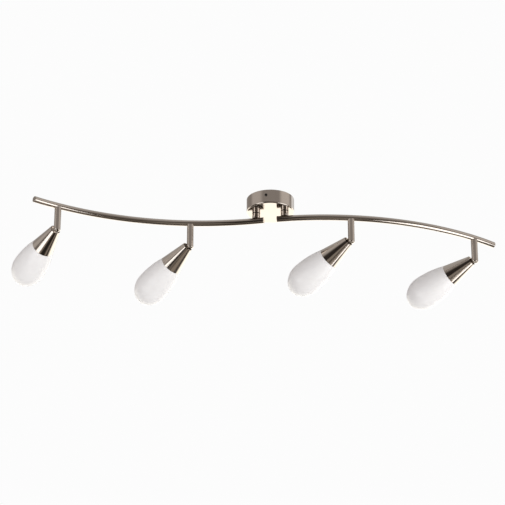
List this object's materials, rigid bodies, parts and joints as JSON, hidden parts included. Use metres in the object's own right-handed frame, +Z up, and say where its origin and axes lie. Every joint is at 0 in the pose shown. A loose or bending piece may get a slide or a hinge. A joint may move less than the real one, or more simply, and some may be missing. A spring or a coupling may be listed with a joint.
{
  "type": "ceiling spotlight bar",
  "caption": "Ceiling light with a round canopy, two curved swivel arms, and tilting cone spotlights with opal glass shades.",
  "frame": {"origin": "centre of the canopy's ceiling face, midway between the two posts", "axes": "+Z up to the ceiling, +X from the left post to the right post, +Y to the side the right arm curves towards"},
  "size_m": [0.9995, 0.4537, 0.192],
  "materials": {
    "satin_nickel": "satin brushed nickel plate",
    "zinc_steel": "bright zinc plate",
    "dark_steel": "black oxide",
    "brass": "turned",
    "white_polyamide": "moulded",
    "black_nylon": "moulded",
    "silicone_insulation": "smooth",
    "earth_insulation": "smooth",
    "ceramic": "unglazed ceramic",
    "clear_glass": "clear",
    "seal_rubber": "matt",
    "opal_glass": "satin opal"
  },
  "bodies": {
    "canopy": {"mounting_strap": "zinc_steel", "canopy_cup": "satin_nickel", "canopy_side_screws": "dark_steel", "terminal_block": "white_polyamide", "terminal_inserts": "brass", "terminal_screws": "zinc_steel", "block_screws": "zinc_steel", "earth_screw": "zinc_steel", "earth_wire": "earth_insulation", "feed_wires": "silicone_insulation"},
    "arm_left": {"rail_left": "satin_nickel", "rail_end_caps_left": "satin_nickel", "post_left": "satin_nickel", "nipple_left": "zinc_steel", "slip_washers_left": "black_nylon", "nipple_nut_left": "zinc_steel", "saddles_left": "satin_nickel", "rail_wires_left": "silicone_insulation"},
    "arm_right": {"rail_right": "satin_nickel", "rail_end_caps_right": "satin_nickel", "post_right": "satin_nickel", "nipple_right": "zinc_steel", "slip_washers_right": "black_nylon", "nipple_nut_right": "zinc_steel", "saddles_right": "satin_nickel", "rail_wires_right": "silicone_insulation"},
    "swivel_1": {"stem_1": "satin_nickel", "pivot_screw_1": "zinc_steel"},
    "head_1": {"tongue_1": "satin_nickel", "cone_1": "satin_nickel", "lamp_holder_1": "ceramic", "lamp_1": "clear_glass", "shade_ring_1": "seal_rubber", "shade_1": "opal_glass"},
    "swivel_2": {"stem_2": "satin_nickel", "pivot_screw_2": "zinc_steel"},
    "head_2": {"tongue_2": "satin_nickel", "cone_2": "satin_nickel", "lamp_holder_2": "ceramic", "lamp_2": "clear_glass", "shade_ring_2": "seal_rubber", "shade_2": "opal_glass"},
    "swivel_3": {"stem_3": "satin_nickel", "pivot_screw_3": "zinc_steel"},
    "head_3": {"tongue_3": "satin_nickel", "cone_3": "satin_nickel", "lamp_holder_3": "ceramic", "lamp_3": "clear_glass", "shade_ring_3": "seal_rubber", "shade_3": "opal_glass"},
    "swivel_4": {"stem_4": "satin_nickel", "pivot_screw_4": "zinc_steel"},
    "head_4": {"tongue_4": "satin_nickel", "cone_4": "satin_nickel", "lamp_holder_4": "ceramic", "lamp_4": "clear_glass", "shade_ring_4": "seal_rubber", "shade_4": "opal_glass"}
  },
  "joints": [
    {"name": "arm_left_swing", "type": "hinge", "parent": "canopy", "child": "arm_left", "pos_m": [-0.0305, 0, -0.0465], "axis": [0, 0, 1], "range_deg": [-90, 90]},
    {"name": "arm_right_swing", "type": "hinge", "parent": "canopy", "child": "arm_right", "pos_m": [0.0305, 0, -0.0465], "axis": [0, 0, 1], "range_deg": [-90, 90]},
    {"name": "pan_1", "type": "hinge", "parent": "arm_left", "child": "swivel_1", "pos_m": [-0.42114, -0.14952, -0.061], "axis": [0, 0, 1], "range_deg": [-260.4, 79.6]},
    {"name": "pan_2", "type": "hinge", "parent": "arm_left", "child": "swivel_2", "pos_m": [-0.16909, -0.01546, -0.061], "axis": [0, 0, 1], "range_deg": [-301.4, 38.6]},
    {"name": "pan_3", "type": "hinge", "parent": "arm_right", "child": "swivel_3", "pos_m": [0.16797, 0.02341, -0.061], "axis": [0, 0, 1], "range_deg": [-124.9, 215.1]},
    {"name": "pan_4", "type": "hinge", "parent": "arm_right", "child": "swivel_4", "pos_m": [0.41189, 0.17176, -0.061], "axis": [0, 0, 1], "range_deg": [-99.8, 240.2]},
    {"name": "tilt_1", "type": "hinge", "parent": "swivel_1", "child": "head_1", "pos_m": [-0.42114, -0.14952, -0.094], "axis": [0.7314, 0.682, 0], "range_deg": [-69.9, 20.1]},
    {"name": "tilt_2", "type": "hinge", "parent": "swivel_2", "child": "head_2", "pos_m": [-0.16909, -0.01546, -0.094], "axis": [0.5764, 0.8171, 0], "range_deg": [-62.7, 27.3]},
    {"name": "tilt_3", "type": "hinge", "parent": "swivel_3", "child": "head_3", "pos_m": [0.16797, 0.02341, -0.094], "axis": [0.4756, 0.8796, 0], "range_deg": [-64.6, 25.4]},
    {"name": "tilt_4", "type": "hinge", "parent": "swivel_4", "child": "head_4", "pos_m": [0.41189, 0.17176, -0.094], "axis": [0.4115, 0.9114, 0], "range_deg": [-69.3, 20.7]}
  ]
}
